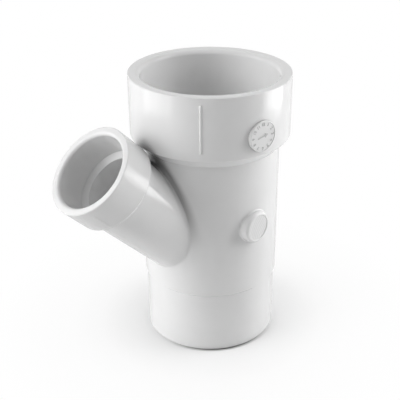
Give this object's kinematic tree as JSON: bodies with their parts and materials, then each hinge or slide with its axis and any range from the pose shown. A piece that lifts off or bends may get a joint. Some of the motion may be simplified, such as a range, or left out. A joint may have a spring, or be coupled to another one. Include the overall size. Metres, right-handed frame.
{
  "type": "lateral wye pipe fitting",
  "caption": "White moulded drainage wye with a slanted side branch, a solvent-weld socket on the run and on the branch, and a plain spigot at the foot.",
  "frame": {"origin": "centre of the spigot's end face, where the run starts", "axes": "+Z along the run from the spigot to the run's socket; the branch rises towards -X at 45 degrees; -Y is the side with the gate boss and the mark disc"},
  "size_m": [0.165, 0.1057, 0.1847],
  "materials": {
    "pvc": "satin gloss white, as moulded"
  },
  "bodies": {
    "root": {"wye_body": "pvc"}
  },
  "joints": []
}
